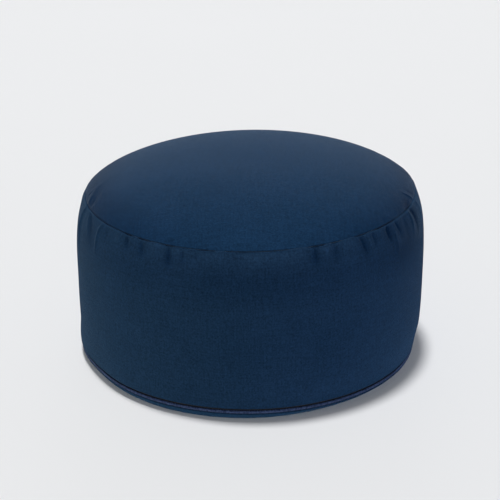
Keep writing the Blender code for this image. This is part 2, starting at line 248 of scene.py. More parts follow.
# How far the seam has opened, from 0 (the band touches the panel) to 1 (a clear dark line)
SEAM_OPENING = (
    # angle, opening
    (-180, 0.6), (-165, 0.9), (-150, 0.3), (-138, 0.9), (-122, 0.4), (-110, 0.8), (-96, 0.4), (-84, 0.5),
    (-76, 0.2), (-73, 0.7), (-60, 0.7), (-50, 0.4), (-46, 0.5), (-44.5, 1.0), (-42.4, 1.0), (-41, 0.2),
    (-39.6, 0.4), (-38.5, 1.0), (-35, 0.9), (-33, 0.4), (-29.5, 0.5), (-28, 1.0), (-26, 1.0), (-24, 0.5),
    (-20, 0.6), (-18.6, 0.3), (-16, 0.8), (-11.6, 0.8), (-10.4, 0.1), (-8.6, 0.1), (-7, 0.7), (3, 0.8),
    (9, 0.7), (12.8, 0.4), (14, 0.0), (18.4, 0.0), (20, 1.0), (24, 1.0), (25.6, 0.1), (27.6, 0.7),
    (29.6, 0.6), (32, 0.0), (35.4, 0.0), (37, 0.7), (40, 0.7), (43, 0.2), (46, 0.8), (54.5, 0.8),
    (57, 0.4), (65, 0.5), (68, 1.0), (71, 0.3), (74, 0.0), (84, 0.0), (88, 0.4), (96, 0.8),
    (110, 0.3), (126, 0.9), (140, 0.4), (155, 0.9), (168, 0.3), (180, 0.6),
)

# The lip of the band turns in to the seam. Where the seam is shut, it is higher and closer to the panel
LIP_TURNS = (0.0, 22.0, 45.0, 68.0, 90.0)
GROOVE_SHUT = 0.02  # from the seam out to the lip's inner edge
GROOVE_OPENS = 0.55  # this much wider where the seam is open
LIP_TOP_SHUT = -0.30  # from the seam down to the lip's top
LIP_TOP_OPENS = 1.10  # this much lower where the seam is open
LIP_SHADE = -0.20  # painted light all over the lip
LIP_EDGE_SHADE = 0.60  # painted shade at its inner edge, where the seam is open

# Rings of the band
CREASED_DROP = 62.0  # the rings are close together down to here
FIRST_STEP = 0.6
STEP_GROWTH = 0.12  # for each millimetre of drop
CREASED_STEP = 2.0  # the largest step down to there
PLAIN_STEP = 3.0  # and the step further down
LAST_STEP = 3.5  # the lowest ring is at most this far above the hem
FINEST_DROP = 44.0  # down to here they have the most points

# Waves of the side, which the hulls press out
SWELL_WAVES = (
    # height, waves round the band, start, twist from the hem to the lip
    (0.40, 3.0, 0.7, 0.0),
    (0.28, 5.0, -1.3, 2.0),
    (0.20, 9.0, 2.1, -4.0),
    (0.12, 17.0, 0.0, 5.0),
)

# The band's own join, at the middle of the back
JOIN_DEPTH = 0.9
JOIN_WIDTH = 1.1
JOIN_RIDGE = 0.35
JOIN_RIDGE_ASIDE = 3.4
JOIN_RIDGE_WIDTH = 2.2
JOIN_RISE = 4.0  # it has its whole depth at this drop

# The fold of the hem, half round, with painted shade on it
HEM_FOLD = (
    # turn, shade
    (0.0, 0.95),
    (30.0, 0.95),
    (60.0, 0.95),
    (90.0, 0.90),
    (120.0, 0.70),
    (150.0, 0.30),
)

# The top panel
PANEL_INSETS = (0.0, 0.5, 1.1, 1.8, 2.6, 3.5, 4.5, 5.6, 6.8, 8.1, 9.5, 11.0)  # rings beside the seam
PANEL_STEPS = ((125.0, 2.0), (12.0, 4.0))  # further in, down to this radius in these steps
# Points around its rings outside each radius
PANEL_COUNTS = ((140.0, FINEST), (110.0, FINE), (50.0, PLAIN), (0.0, COARSE))
PANEL_SWELL = 0.8
PANEL_EDGE_SHADE = 0.66  # painted shade at its edge, where the seam is open
TURNED_SHADE = 0.42  # painted shade at its left and right rim
TURNED_WIDTH = 26.0

# The base panel, in rings of radius and points around, and in shares of the way up its corner
BASE_FLOOR = ((40.0, COARSE), (80.0, COARSE), (110.0, PLAIN), (130.0, PLAIN), (146.0, PLAIN))
BASE_CORNER = (0.0, 0.12, 0.24, 0.36, 0.48, 0.6, 0.72)
FILLING_CORNER = (0.0, 0.25, 0.5, 0.75, 1.0)  # and up the filling's, inside it
ROLL_TURNS = (0.0, 20.0, 45.0, 70.0, 90.0, 110.0, 135.0, 160.0, 180.0)
ROLL_POWER = 0.4  # the rim's edge is squarer than a half round

# The zip
TAPE_ROUNDING = 0.3
TOOTH_PITCH = 1.5  # along each of the two rows, which are half a pitch apart
TOOTH_START = 0.25  # of a pitch, before the first tooth
TOOTH_SHORT = 0.8  # a tooth ends this far from the other row's feet
TOOTH_FLATNESS = 0.8
TOOTH_SIDES = 6

# A tooth rises from its tape, bends over and ends in a thinner head. The feet lie under the hem and behind
# the heads, and carry painted shade
TOOTH_PATH = (
    # share of the way from foot to tip, distance out, half its width, shade
    (0.0, 0.35, 0.50, 0.95),
    (0.0, 2.20, 0.62, 0.95),
    (0.08, 2.40, 0.60, 0.40),
    (0.7, 2.40, 0.52, 0.0),
    (1.0, 2.10, 0.52, 0.0),
    (1.0, 1.20, 0.40, 0.0),
)

# The cloths. Lengths are in metres, and scales are for each metre
THREAD_PITCH = 0.00075
THREAD_DIP = 0.45  # how far a thread sinks where it passes under the next one
SLUB_FINE = 620.0  # across a thread
SLUB_LONG = 45.0  # along it
WEAVE_SHARE = 0.16
SLUB_SHARE = 0.36
MOTTLE_SHARE = 1.7
LEVEL_SHIFT = -0.28  # so that weave, slub and mottle at half their strength add up to about 1
RIB_PITCH = 0.0006  # of the ribs along a tape
PICK_PITCH = 0.0009  # and of the threads across it

# Painted shade takes this much of red, green and blue, and leaves at least a little
SHADE_TAKES = (1.5, 1.1, 0.85)
LEAST_LEFT = 0.02

# The camera, at the photograph's viewing angle, in degrees and metres. Its lens and sensor are in millimetres
PITCH = 23.81
DISTANCE = 1.530
AIM_HEIGHT = 0.0867
LENS = 108.0
SENSOR = 36.0
SHIFT = 0.0261

# The room is brightest low down, more so behind than in front and at the left than at the right, and it
# is dimmer at both sides
ROOM_LIGHT = 1.35
ROOM_BEHIND = 0.5
ROOM_RIGHT = -0.25
ROOM_BESIDE = -0.85
ROOM_LEAST = 0.10
ROOM_POWER = 3.0

FLOOR_HALF = 20.0  # half the floor's width, in metres


def smooth_step(share):
    share = np.clip(share, 0.0, 1.0)
    return share * share * (3.0 - 2.0 * share)


def bell(x):
    """1 at 0, and falling away softly on both sides."""
    return np.exp(-(x**2))


def turns(count):
    """The angles of a full ring, in degrees."""
    return np.arange(count) * 360.0 / count


def away(angle, middle):
    """How many degrees an angle is from a middle, either way round."""
    return (angle - middle + 180.0) % 360.0 - 180.0


def place(angle, radius, height):
    """The points at these angles and radii, in a body that has settled off the middle of its base."""
    angle, radius, height = np.broadcast_arrays(*(np.asarray(x, float) for x in (angle, radius, height)))
    settled = smooth_step((height - HEM_HEIGHT) / (SETTLED_HEIGHT - HEM_HEIGHT))
    at_seam = smooth_step((height - SHOULDER_HEIGHT) / (SEAM_HEIGHT - SHOULDER_HEIGHT))
    # The middle of the base stays round
    reach = smooth_step((radius / FLOOR_RADIUS - OVAL_REACH[0]) / (OVAL_REACH[1] - OVAL_REACH[0]))
    oval = FLOOR_OVAL * np.cos(np.radians(2.0 * (angle - FLOOR_OVAL_ANGLE)))
    tucked = TUCK * bell(away(angle, TUCK_ANGLE) / TUCK_SPREAD) * (1.0 - settled)
    radius = radius + reach * (oval * np.maximum(1.0 - height / OVAL_HEIGHT, 0.0) - tucked)
    shift = BASE_SHIFT * (1.0 - settled) + SEAM_SHIFT * at_seam
    turn = np.radians(angle)
    radius = radius + SEAM_OVAL * at_seam * radius / SEAM_RADIUS * np.sin(turn) ** 2
    return np.stack([radius * np.sin(turn) + shift, -radius * np.cos(turn), height], -1)


def seam_height(angle, share=1.0):
    """The height of the tilted seam, or of a smaller round with this share of its radius and tilt."""
    return SEAM_HEIGHT + SEAM_TILT * share * np.sin(np.radians(angle))


def seam_opening(angle):
    middles, openings = np.array(SEAM_OPENING).T
    return np.interp(away(angle, 0.0), middles, openings)


def side_radius(share):
    """The radius of the side at this share of its height, on a natural cubic through SIDE_PROFILE."""
    knots, values = np.array(SIDE_PROFILE).T
    steps = np.diff(knots)
    slopes = np.diff(values) / steps
    system = np.eye(len(knots))
    right = np.zeros(len(knots))
    for i in range(1, len(knots) - 1):
        system[i, i - 1 : i + 2] = steps[i - 1], 2.0 * (steps[i - 1] + steps[i]), steps[i]
        right[i] = 6.0 * (slopes[i] - slopes[i - 1])
    bends = np.linalg.solve(system, right)
    i = np.clip(np.searchsorted(knots, share) - 1, 0, len(steps) - 1)
    along = share - knots[i]
    first = slopes[i] - steps[i] * (2.0 * bends[i] + bends[i + 1]) / 6.0
    second = bends[i] / 2.0
    third = (bends[i + 1] - bends[i]) / (6.0 * steps[i])
    return values[i] + along * (first + along * (second + along * third))


def fold(aside, half_width):
    """The cross section of a crease: a trough with soft sides, 1 deep in its middle."""
    x = aside / half_width
    return 1.0 / (1.0 + (x / FOLD_CORE) ** 2) * np.exp(-((x / FOLD_EDGE) ** 4))


def along_line(line, angle, distance):
    """How far points on a ring are from a crease's line, and the share of the line that they lie beside."""
    x = np.radians(away(angle, line[0, 0])) * SEAM_RADIUS
    knots = np.stack([np.radians(away(line[:, 0], line[0, 0])) * SEAM_RADIUS, line[:, 1]], 1)
    lengths = np.hypot(*np.diff(knots, axis=0).T)
    nearest = np.full(len(angle), np.inf)
    share = np.zeros(len(angle))
    for i, length in enumerate(lengths):
        step = knots[i + 1] - knots[i]
        along = ((x - knots[i, 0]) * step[0] + (distance - knots[i, 1]) * step[1]) / length**2
        along = np.clip(along, 0.0, 1.0)
        gap = np.hypot(x - knots[i, 0] - along * step[0], distance - knots[i, 1] - along * step[1])
        closer = gap < nearest
        nearest = np.where(closer, gap, nearest)
        share = np.where(closer, (lengths[:i].sum() + along * length) / lengths.sum(), share)
    return nearest, share


def crease_depth(creases, angle, distance, widening=1.0):
    """How far creases draw in the cloth at these angles, this distance from the seam."""
    depth = np.zeros(len(angle))
    for deepest, half_width, line in creases:
        line = np.array(line, float)
        if not line[0, 1] - half_width < distance < line[-1, 1] + half_width:
            continue
        nearest, share = along_line(line, angle, distance)
        wide = half_width * (CREASE_START + CREASE_GROWTH * share) * widening
        at_seam = smooth_step(CREASE_AT_SEAM + distance / CREASE_RISE)
        fade = 1.0 - smooth_step((share - CREASE_FADES_FROM) / (1.0 - CREASE_FADES_FROM))
        depth += deepest * fold(nearest, wide) * at_seam * fade
    return depth


def drawn_in(creases, angle, distance):
    """The cloth's shape at its creases, whose troughs are shallower than their painted shade makes them seem.
    """
    depth = crease_depth(creases, angle, distance)
    return np.where(depth > 0.0, TROUGH_SHARE * depth, depth)


def crease_shade(creases, angle, distance):
    """The painted shade of the cloth between its gathers, where it lies darker."""
    near = np.clip(crease_depth(creases, angle, distance, NEAR_WIDENING), 0.0, None)
    wide = np.clip(crease_depth(creases, angle, distance, WIDE_WIDENING), 0.0, None)
    return np.clip(NEAR_SHADE * near + WIDE_SHADE * wide, 0.0, MOST_CREASE_SHADE)


def band_shade(angle, drop):
    """The band's painted shade and painted light, apart from its creases'."""
    turned = away(angle, 0.0)
    belt = smooth_step((drop - BELT_TOP[0]) / (BELT_TOP[1] - BELT_TOP[0]))
    belt = belt * (1.0 - smooth_step((drop - BELT_FOOT[0]) / (BELT_FOOT[1] - BELT_FOOT[0])))
    uneven = 1.0 + sum(a * np.sin(np.radians(waves * angle + start)) for a, waves, start in STRIP_WAVES)
    strip = uneven * bell(drop / STRIP_DROP) * bell(turned / STRIP_SPREAD)
    low_down = smooth_step((drop - LOW_DROPS[0]) / (LOW_DROPS[1] - LOW_DROPS[0]))
    low_down = low_down * (1.0 - bell(turned / LOW_SPREAD))
    shade = BELT_SHADE * belt + STRIP_SHADE * strip + LOW_SHADE * low_down
    for middle, low, half_width, half_height, amount in LEES:
        aside = np.radians(away(angle, middle)) * SEAM_RADIUS / half_width
        shade += amount * bell(aside) * bell((drop - low) / half_height)
    return shade


def dome(angle, radius, inward=0.0, outward=0.0):
    """Points on the top panel, or this far under it, or moved down its slope away from the middle."""
    # The slope has no end at the very rim
    share = np.minimum(radius / SEAM_RADIUS, 0.9985)
    rise = CROWN * (1.0 - share**DOME_POWER) ** DOME_ROUNDING
    fall = CROWN * DOME_ROUNDING * DOME_POWER / SEAM_RADIUS
    slope = fall * share ** (DOME_POWER - 1.0) * (1.0 - share**DOME_POWER) ** (DOME_ROUNDING - 1.0)
    length = np.sqrt(1.0 + slope**2)
    across, up = slope / length, 1.0 / length
    r = radius - inward * across + outward * up
    z = seam_height(angle, share) + rise - inward * up - outward * across
    return place(angle, np.maximum(r, 0.0), z)


def bridge(faces, lower, upper):
    """Faces between two rings of point numbers. Where one has fewer, the other's edges fan out."""
    count = max(len(lower), len(upper))
    for step in range(count):
        corners = (
            lower[step * len(lower) // count],
            lower[(step + 1) * len(lower) // count % len(lower)],
            upper[(step + 1) * len(upper) // count % len(upper)],
            upper[step * len(upper) // count],
        )
        faces.append(tuple(dict.fromkeys(corners)))


def finish_mesh(name, points, faces, material, shade=None):
    """A smooth mesh of these points, in metres, with its outside out and a painted shade for each point."""
    data = bpy.data.meshes.new(name)
    data.from_pydata((np.asarray(points) * MM).tolist(), [], faces)
    made = bpy.data.objects.new(name, data)
    bpy.context.scene.collection.objects.link(made)
    mesh = bmesh.new()
    mesh.from_mesh(data)
    bmesh.ops.recalc_face_normals(mesh, faces=mesh.faces[:])
    mesh.to_mesh(data)
    mesh.free()
    data.shade_smooth()
    if shade is not None:
        data.attributes.new("shade", "FLOAT", "POINT").data.foreach_set("value", shade)
    data.materials.append(material)
    return made


def loft(name, rings, shades, material):
    """A closed body through rings of points that run from one pole to the other."""
    points = np.concatenate(rings)
    shade = np.concatenate([np.broadcast_to(s, len(r)) for s, r in zip(shades, rings)])
    starts = np.concatenate([[0], np.cumsum([len(r) for r in rings])])
    numbers = [list(range(starts[i], starts[i + 1])) for i in range(len(rings))]
    faces = []
    for lower, upper in zip(numbers, numbers[1:]):
        bridge(faces, lower, upper)
    return finish_mesh(name, points, faces, material, shade)


def add_camera():
    data = bpy.data.cameras.new("camera")
    data.lens = LENS
    data.sensor_width = SENSOR
    data.shift_y = SHIFT
    camera = bpy.data.objects.new("camera", data)
    bpy.context.scene.collection.objects.link(camera)
    pitch = radians(PITCH)
    camera.location = (0.0, -DISTANCE * np.cos(pitch), AIM_HEIGHT + DISTANCE * np.sin(pitch))
    camera.rotation_euler = (radians(90.0 - PITCH), 0.0, 0.0)
    bpy.context.scene.camera = camera


add_camera()


class Nodes:
    """Short names for adding nodes to one new material, or to the world."""

    def __init__(self, name, world=None):
        self.material = world or bpy.data.materials.new(name)
        self.material.use_nodes = True
        self.tree = self.material.node_tree
        self.shader = self.tree.nodes["Background" if world else "Principled BSDF"]

    def add(self, kind, **settings):
        node = self.tree.nodes.new(kind)
        for key, value in settings.items():
            setattr(node, key, value)
        return node

    def link(self, source, target):
        if hasattr(source, "is_output"):
            self.tree.links.new(source, target)
        else:
            target.default_value = source

    def position(self, kind="Object"):
        """Where a point is."""
        return self.add("ShaderNodeTexCoord").outputs[kind]

    def split(self, vector):
        """The three numbers of a vector."""
        parts = self.add("ShaderNodeSeparateXYZ")
        self.link(vector, parts.inputs[0])
        return parts.outputs

    def math(self, operation, a, b=0.0, c=0.0):
        node = self.add("ShaderNodeMath", operation=operation)
        self.link(a, node.inputs[0])
        self.link(b, node.inputs[1])
        self.link(c, node.inputs[2])
        return node.outputs[0]

    def round_body(self, x, y, radius):
        """The length round a body of this radius, in metres, from its front."""
        back = self.math("MULTIPLY", y, -1.0)
        return self.math("MULTIPLY", self.math("ARCTAN2", x, back), radius * MM)

    def waves(self, length, pitch):
        """A sine along a length."""
        return self.math("SINE", self.math("MULTIPLY", length, 2.0 * pi / pitch))

    def vector(self, x, y, z=0.0):
        node = self.add("ShaderNodeCombineXYZ")
        self.link(x, node.inputs[0])
        self.link(y, node.inputs[1])
        self.link(z, node.inputs[2])
        return node.outputs[0]

    def noise(self, vector, scale, detail=2.0, roughness=0.5):
        node = self.add("ShaderNodeTexNoise")
        self.link(vector, node.inputs["Vector"])
        node.inputs["Scale"].default_value = scale
        node.inputs["Detail"].default_value = detail
        node.inputs["Roughness"].default_value = roughness
        return node.outputs["Fac"]

    def blend(self, share, a, b):
        """a where the share is 0 and b where it is 1."""
        node = self.add("ShaderNodeMix", data_type="RGBA")
        self.link(share, node.inputs["Factor"])
        node.inputs["A"].default_value = (*a, 1.0)
        node.inputs["B"].default_value = (*b, 1.0)
        return node.outputs["Result"]

    def scaled(self, colour, amount):
        """A colour times a number."""
        node = self.add("ShaderNodeVectorMath", operation="SCALE")
        self.link(colour, node.inputs[0])
        self.link(amount, node.inputs["Scale"])
        return node.outputs[0]

    def shade(self):
        """The painted shade that the mesh holds."""
        return self.add("ShaderNodeAttribute", attribute_name="shade").outputs["Fac"]

    def shaded(self, colour):
        """A colour in the mesh's painted shade, which takes its red before its blue, as shade does deep in a
        fold.
        """
        left = self.add("ShaderNodeVectorMath", operation="MULTIPLY_ADD")
        self.link(self.shade(), left.inputs[0])
        left.inputs[1].default_value = [-taken for taken in SHADE_TAKES]
        left.inputs[2].default_value = (1.0, 1.0, 1.0)
        least = self.add("ShaderNodeVectorMath", operation="MAXIMUM")
        self.link(left.outputs[0], least.inputs[0])
        least.inputs[1].default_value = (LEAST_LEFT, LEAST_LEFT, LEAST_LEFT)
        made = self.add("ShaderNodeVectorMath", operation="MULTIPLY")
        self.link(colour, made.inputs[0])
        self.link(least.outputs[0], made.inputs[1])
        return made.outputs[0]

    def bump(self, height, distance, strength=1.0, normal=None):
        node = self.add("ShaderNodeBump")
        node.inputs["Strength"].default_value = strength
        node.inputs["Distance"].default_value = distance
        self.link(height, node.inputs["Height"])
        if normal is not None:
            self.link(normal, node.inputs["Normal"])
        return node.outputs["Normal"]


def plain_weave(n, u, v):
    """Threads that pass over and under each other, along u and v."""
    across = n.math("DIVIDE", u, THREAD_PITCH)
    along = n.math("DIVIDE", v, THREAD_PITCH)
    warp = n.math("ABSOLUTE", n.math("SINE", n.math("MULTIPLY", across, pi)))
    weft = n.math("ABSOLUTE", n.math("SINE", n.math("MULTIPLY", along, pi)))
    cell = n.math("ADD", n.math("FLOOR", across), n.math("FLOOR", along))
    odd = n.math("FLOORED_MODULO", cell, 2.0)
    warp_top = n.math("MULTIPLY", warp, n.math("MULTIPLY_ADD", weft, THREAD_DIP, 1.0 - THREAD_DIP))
    weft_top = n.math("MULTIPLY", weft, n.math("MULTIPLY_ADD", warp, THREAD_DIP, 1.0 - THREAD_DIP))
    even_part = n.math("MULTIPLY", warp_top, n.math("SUBTRACT", 1.0, odd))
    return n.math("MULTIPLY_ADD", weft_top, odd, even_part)


def slubs(n, u, v):
    """Threads that are thicker or thinner over a few centimetres, along u and v."""
    along_u = n.vector(n.math("MULTIPLY", u, SLUB_FINE), n.math("MULTIPLY", v, SLUB_LONG))
    along_v = n.vector(n.math("MULTIPLY", u, SLUB_LONG), n.math("MULTIPLY", v, SLUB_FINE), 7.0)
    return n.math("ADD", n.noise(along_u, scale=1.0, detail=1.0), n.noise(along_v, scale=1.0, detail=1.0))


def canvas(name, dark, light, wraps, sheen, tint):
    """Plain woven cotton canvas. Its threads run along X and Y, or round and up the side where it wraps."""
    n = Nodes(name)
    where = n.position()
    x, y, z = n.split(where)
    u, v = (n.round_body(x, y, BELLY_RADIUS), z) if wraps else (x, y)
    weave = plain_weave(n, u, v)
    slub = slubs(n, u, v)
    mottle = n.noise(where, scale=560.0, detail=3.0, roughness=0.75)
    patches = n.noise(where, scale=16.0)
    colour = n.blend(n.math("MULTIPLY_ADD", patches, 1.6, -0.3), dark, light)
    level = n.math("MULTIPLY_ADD", weave, WEAVE_SHARE, LEVEL_SHIFT)
    level = n.math("MULTIPLY_ADD", slub, SLUB_SHARE, level)
    level = n.math("MULTIPLY_ADD", mottle, MOTTLE_SHARE, level)
    # The mesh's painted shade and painted light change the colour
    n.link(n.scaled(n.shaded(colour), level), n.shader.inputs["Base Color"])
    n.link(n.math("MULTIPLY_ADD", mottle, 0.12, 0.84), n.shader.inputs["Roughness"])
    fine = n.bump(n.math("MULTIPLY_ADD", slub, 0.5, weave), distance=0.00016, strength=0.75)
    n.link(n.bump(mottle, distance=0.0004, strength=0.3, normal=fine), n.shader.inputs["Normal"])
    n.shader.inputs["Specular IOR Level"].default_value = 0.02
    n.shader.inputs["Sheen Weight"].default_value = sheen
    n.shader.inputs["Sheen Roughness"].default_value = 0.31
    n.shader.inputs["Sheen Tint"].default_value = (*tint, 1.0)
    return n.material


def tape_cloth(name):
    """Flat polyester tape with fine ribs along its length."""
    n = Nodes(name)
    where = n.position()
    x, y, z = n.split(where)
    ribs = n.waves(z, RIB_PITCH)
    picks = n.waves(n.round_body(x, y, TAPE_RADIUS), PICK_PITCH)
    grain = n.noise(where, scale=420.0)
    # Near black, as painted shade for the slot behind the hem
    n.link(n.blend(grain, (0.004, 0.007, 0.018), (0.007, 0.012, 0.028)), n.shader.inputs["Base Color"])
    n.link(n.math("MULTIPLY_ADD", grain, 0.2, 0.62), n.shader.inputs["Roughness"])
    height = n.math("MULTIPLY_ADD", picks, 0.6, ribs)
    n.link(n.bump(height, distance=0.0001, strength=0.6), n.shader.inputs["Normal"])
    n.shader.inputs["Specular IOR Level"].default_value = 0.02
    n.shader.inputs["Sheen Weight"].default_value = 0.01
    return n.material


def nylon(name):
    """Dyed nylon teeth, a little greyer and paler than the cloth."""
    n = Nodes(name)
    where = n.position()
    grain = n.noise(where, scale=900.0)
    wear = n.noise(where, scale=60.0, detail=3.0)
    speckle = n.math("MULTIPLY_ADD", n.noise(where, scale=620.0, detail=1.0), 3.2, -1.35)
    spread = n.math("MULTIPLY_ADD", wear, 0.5, speckle)
    colour = n.blend(spread, (0.020, 0.034, 0.088), (0.060, 0.092, 0.200))
    # The mesh's painted shade darkens the teeth at their feet
    n.link(n.scaled(colour, n.math("SUBTRACT", 1.0, n.shade())), n.shader.inputs["Base Color"])
    n.link(n.math("MULTIPLY_ADD", grain, 0.25, 0.50), n.shader.inputs["Roughness"])
    n.link(n.bump(grain, distance=0.0001, strength=0.3), n.shader.inputs["Normal"])
    n.shader.inputs["Specular IOR Level"].default_value = 0.03
    return n.material


# One canvas in three copies, whose colours differ as painted light: the base's is lighter, standing for light
# from the floor, and the side's a little darker than the top's
canvas_top = canvas(
    "navy_canvas_top",
    dark=(0.0080, 0.0322, 0.078),
    light=(0.0106, 0.0384, 0.0925),
    wraps=False,
    sheen=0.26,
    tint=(0.66, 0.82, 0.98),
)
canvas_side = canvas(
    "navy_canvas_side",
    dark=(0.0080, 0.0264, 0.0632),
    light=(0.0103, 0.0315, 0.0745),
    wraps=True,
    sheen=0.085,
    tint=(0.46, 0.72, 1.0),
)
canvas_base = canvas(
    "navy_canvas_base",
    dark=(0.0102, 0.0340, 0.078),
    light=(0.0122, 0.0387, 0.088),
    wraps=False,
    sheen=0.05,
    tint=(0.48, 0.72, 1.0),
)
tape_material = tape_cloth("zip_tape_weave")
teeth_material = nylon("zip_teeth_nylon")


# The side band, with the filling that it holds
def swell(angle, share):
    """The small unevenness of a side that hulls press out."""
    a = np.radians(angle)
    waves = sum(high * np.cos(count * a + start + twist * share) for high, count, start, twist in SWELL_WAVES)
    return waves * np.sin(pi * np.clip(share, 0.0, 1.0))


def back_join(angle):
    """The band's own join: a narrow groove between low ridges."""
    aside = np.radians(away(angle, 180.0)) * BELLY_RADIUS
    ridges = bell((np.abs(aside) - JOIN_RIDGE_ASIDE) / JOIN_RIDGE_WIDTH)
    return JOIN_DEPTH * bell(aside / JOIN_WIDTH) - JOIN_RIDGE * ridges


def side_points(drop):
    """A ring of the band's side at this drop under its lip, and its painted shade."""
    angle = turns(FINEST if drop < FINEST_DROP else FINE)
    lip_height = seam_height(angle) - LIP_DROP
    share = 1.0 - drop / (SEAM_HEIGHT - LIP_DROP - HEM_HEIGHT)
    height = HEM_HEIGHT + share * (lip_height - HEM_HEIGHT)
    radius = side_radius(share) - drawn_in(BAND_CREASES, angle, drop) + swell(angle, share)
    radius = radius - back_join(angle) * smooth_step(drop / JOIN_RISE)
    return place(angle, radius, height), crease_shade(BAND_CREASES, angle, drop) + band_shade(angle, drop)


def side_drops():
    """The drops of the side's rings, from the lowest to the one under the lip."""
    deepest = SEAM_HEIGHT - LIP_DROP - HEM_HEIGHT
    drops = [0.0]
    while drops[-1] < CREASED_DROP:
        drops.append(drops[-1] + min(FIRST_STEP + STEP_GROWTH * drops[-1], CREASED_STEP))
    while drops[-1] < deepest - LAST_STEP:
        drops.append(drops[-1] + PLAIN_STEP)
    return drops[:0:-1]


def corner_rings(start, radius, bottom, shares):
    """Rings of the corner where the base turns up: it leaves the floor at a slant and ends upright."""
    rings = []
    for share in shares:
        out = 1.0 - (1.0 - share) ** 2
        up = 2.0 * CORNER_LIFT * share * (1.0 - share) + share**2
        rings.append(place(turns(PLAIN), start + out * (radius - start), bottom + up * (RIM_HEIGHT - bottom)))
    return rings


def hem_rings():
    """The rings of the hem's fold, and their painted shades."""
    half = HEM_THICKNESS / 2.0
    back = HEM_RADIUS - HEM_THICKNESS
    rings = []
    shades = []
    for degrees, shade in HEM_FOLD:
        turn = radians(degrees)
        height = HEM_HEIGHT + half * (1.0 - np.sin(turn))
        rings.append(place(turns(FINE), back + half * (1.0 - np.cos(turn)), height))
        shades.append(shade)
    return rings, shades


def lip_rings():
    """The rings of the lip, from its outside to its inner edge, and their painted shades."""
    angle = turns(FINEST)
    opening = seam_opening(angle)
    groove = GROOVE_SHUT + GROOVE_OPENS * opening
    top = LIP_TOP_SHUT + LIP_TOP_OPENS * opening
    pulled = drawn_in(BAND_CREASES, angle, 0.0)
    # Painted shade of the creases, fading round the lip, and painted light all over it
    creased = crease_shade(BAND_CREASES, angle, 0.0)
    rings = []
    shades = []
    for turn in np.radians(LIP_TURNS):
        out = groove + (LIP_OUT - groove) * np.cos(turn) - pulled * np.cos(turn)
        height = seam_height(angle) - LIP_DROP + (LIP_DROP - top) * np.sin(turn)
        rings.append(place(angle, SEAM_RADIUS + out, height))
        shades.append(creased * np.cos(turn) + LIP_SHADE)
    # Painted shade at the inner edge, where the seam is open
    shades[-1] = shades[-1] + LIP_EDGE_SHADE * opening
    return rings, shades


def band_rings():
    """The rings of the band, from the pole under the filling to the pole over it, and their painted shades.
    """
    under = CANVAS + GAP
    inside = TAPE_RADIUS - TAPE_THICKNESS - GAP
    rings = [place([0.0], 0.0, under)]
    rings += [place(turns(count), radius, under) for radius, count in FILLING_FLOOR]
    rings += corner_rings(FLOOR_RADIUS - FILLING_INSET, inside, under, FILLING_CORNER)
    rings += [place(turns(PLAIN), radius, SLOT_TOP) for radius in (inside, HEM_RADIUS - HEM_THICKNESS)]
    shades = [0.0] * len(rings)
    for more_rings, more_shades in (hem_rings(), zip(*map(side_points, side_drops())), lip_rings()):
        rings += more_rings
        shades += more_shades
    # The filling's dome keeps clear of the top panel
    rings.append(dome(turns(FINEST), SEAM_RADIUS, inward=under + GAP, outward=SEAM_GROOVE))
    for radius, count in reversed(HIDDEN_DOME):
        clear = under if radius > TIGHT_FROM else under + GAP
        rings.append(dome(turns(count), radius, inward=clear))
    rings.append(place([0.0], 0.0, SEAM_HEIGHT + CROWN - under - GAP))
    return rings, shades + [0.0] * (len(rings) - len(shades))


# The top panel
def panel_dip(angle, radius):
    """How far the top panel is drawn in by the creases beside its seam, and by its filling's unevenness."""
    dip = drawn_in(PANEL_CREASES, angle, SEAM_RADIUS - radius)
    a = np.radians(angle)
    r = radius / SEAM_RADIUS
    waves = 0.5 * np.cos(2.0 * a + 0.4) * r * r
    waves = waves + 0.3 * np.cos(3.0 * a - 1.0 + 3.0 * r) * r
    waves = waves + 0.2 * np.cos(7.0 * r + a)
    return dip + waves * (1.0 - r**4) * PANEL_SWELL


def panel_rings():
    """The rings of the top panel, from the pole under it to the pole over it, and their painted shades."""
    rings = [place([0.0], 0.0, SEAM_HEIGHT + CROWN - CANVAS)]
    for radius, count in (*HIDDEN_DOME, (SEAM_RADIUS, FINE)):
        rings.append(dome(turns(count), radius, inward=CANVAS))
    shades = [0.0] * len(rings)
    insets = list(PANEL_INSETS)
    for innermost, step in PANEL_STEPS:
        while SEAM_RADIUS - insets[-1] > innermost:
            insets.append(insets[-1] + step)
    for inset in insets:
        radius = SEAM_RADIUS - inset
        angle = turns(next(count for least, count in PANEL_COUNTS if radius > least))
        rings.append(dome(angle, radius, inward=panel_dip(angle, radius)))
        # Painted shade at the left and right rim, and at the edge where the seam is open
        turned = TURNED_SHADE * bell(inset / TURNED_WIDTH) * np.sin(np.radians(angle)) ** 2
        shade = crease_shade(PANEL_CREASES, angle, inset) + turned
        if inset == 0.0:
            shade = shade + PANEL_EDGE_SHADE * seam_opening(angle)
        shades.append(shade)
    rings.append(place([0.0], 0.0, SEAM_HEIGHT + CROWN))
    return rings, shades + [0.0]


# The base panel
def rim_points(angle, radius, height):
    """The base panel's upper rim, which stands higher behind the ends of the zip."""
    turned = np.abs(away(angle, 0.0))
    risen = np.clip((turned - RIM_RISES_FROM) / (RIM_RISES_TO - RIM_RISES_FROM), 0.0, 1.0)
    return place(angle, radius + RIM_SPREAD * risen, height + risen * (HEM_HEIGHT - GAP - RIM_HEIGHT))


def cup_rings(radius, bottom):
    """The rings of one face of the base panel, from its middle to its turned-up rim."""
    rings = [place([0.0], 0.0, bottom)]
    rings += [place(turns(count), inner, bottom) for inner, count in BASE_FLOOR]
    return rings + corner_rings(FLOOR_RADIUS, radius, bottom, BASE_CORNER)


